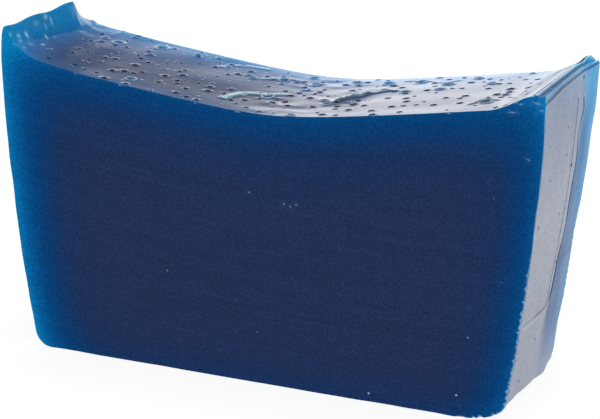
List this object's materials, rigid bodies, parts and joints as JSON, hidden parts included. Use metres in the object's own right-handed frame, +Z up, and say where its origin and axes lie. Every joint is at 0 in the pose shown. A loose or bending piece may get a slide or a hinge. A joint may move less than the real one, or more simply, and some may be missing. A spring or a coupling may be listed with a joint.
{
  "type": "clay bar",
  "caption": "Slab of translucent blue wax-like compound with flat cut faces, drafted cast ends, a rounded base and a dished, lipped, pitted top.",
  "frame": {"origin": "centre of the base, on the surface the bar stands on", "axes": "+X along the length towards the low flat lip, +Y from the front cut face to the back cut face, +Z up to the dished top"},
  "size_m": [0.1098, 0.0344, 0.0663],
  "materials": {
    "blue_compound": "translucent deep blue compound: glossy pitted pour surface, satin moulded ends and base, matte knife-cut front and back"
  },
  "bodies": {
    "root": {"cast_bar": "blue_compound"}
  },
  "joints": []
}
